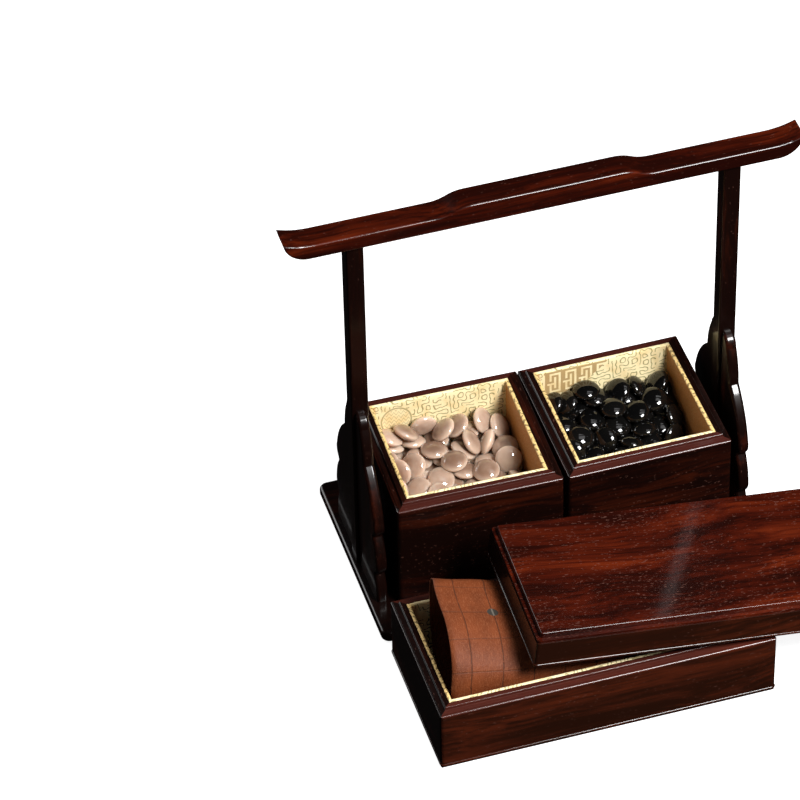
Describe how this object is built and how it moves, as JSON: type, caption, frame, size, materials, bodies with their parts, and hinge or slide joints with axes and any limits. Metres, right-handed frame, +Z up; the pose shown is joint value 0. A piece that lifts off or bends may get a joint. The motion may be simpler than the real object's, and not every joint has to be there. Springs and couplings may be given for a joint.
{
  "type": "game box with stone boxes and board tray",
  "caption": "Handled wooden frame carrying lined boxes of game stones, with a lined tray holding a rolled leather game board and a lid resting on it.",
  "frame": {"origin": "centre of the base plate's underside, on the table", "axes": "+X along the handle towards the box of black stones, +Y away from the tray, +Z up"},
  "size_m": [0.414, 0.3292, 0.3597],
  "materials": {
    "wood": "dark red-brown rosewood, waxed to a gloss",
    "lining": "gold silk brocade, woven pattern",
    "leather": "brown leather with a printed grid, semi-matt",
    "white_stone": "polished translucent agate",
    "black_stone": "polished black agate"
  },
  "bodies": {
    "frame": {"base_plate": "wood", "handle_beam": "wood", "left_back_spandrel": "wood", "left_front_spandrel": "wood", "left_post": "wood", "right_back_spandrel": "wood", "right_front_spandrel": "wood", "right_post": "wood"},
    "left_box": {"left_box_back_wall": "wood", "left_box_floor": "wood", "left_box_floor_lining": "lining", "left_box_front_wall": "wood", "left_box_left_wall": "wood", "left_box_right_wall": "wood", "left_box_wall_lining": "lining", "white_stone_bed": "white_stone", "white_stones": "white_stone"},
    "right_box": {"black_stone_bed": "black_stone", "black_stones": "black_stone", "right_box_back_wall": "wood", "right_box_floor": "wood", "right_box_floor_lining": "lining", "right_box_front_wall": "wood", "right_box_left_wall": "wood", "right_box_right_wall": "wood", "right_box_wall_lining": "lining"},
    "tray": {"tray_back_wall": "wood", "tray_floor": "wood", "tray_floor_lining": "lining", "tray_front_wall": "wood", "tray_left_wall": "wood", "tray_right_wall": "wood", "tray_wall_lining": "lining"},
    "board_roll": {"leather_board_roll": "leather"},
    "lid": {"lid_back_rail": "wood", "lid_front_rail": "wood", "lid_left_rail": "wood", "lid_right_rail": "wood", "lid_top_board": "wood"}
  },
  "joints": [
    {"name": "left_box_lift", "type": "slide", "parent": "frame", "child": "left_box", "axis": [0, 0, 1], "range_m": [0, 0.2]},
    {"name": "right_box_lift", "type": "slide", "parent": "frame", "child": "right_box", "axis": [0, 0, 1], "range_m": [0, 0.2]},
    {"name": "tray_lift", "type": "slide", "parent": "frame", "child": "tray", "axis": [0, 0, 1], "range_m": [0, 0.15]},
    {"name": "roll_lift", "type": "slide", "parent": "tray", "child": "board_roll", "axis": [0, 0, 1], "range_m": [0, 0.1]},
    {"name": "lid_lift", "type": "slide", "parent": "board_roll", "child": "lid", "axis": [0, 0, 1], "range_m": [0, 0.12]}
  ]
}
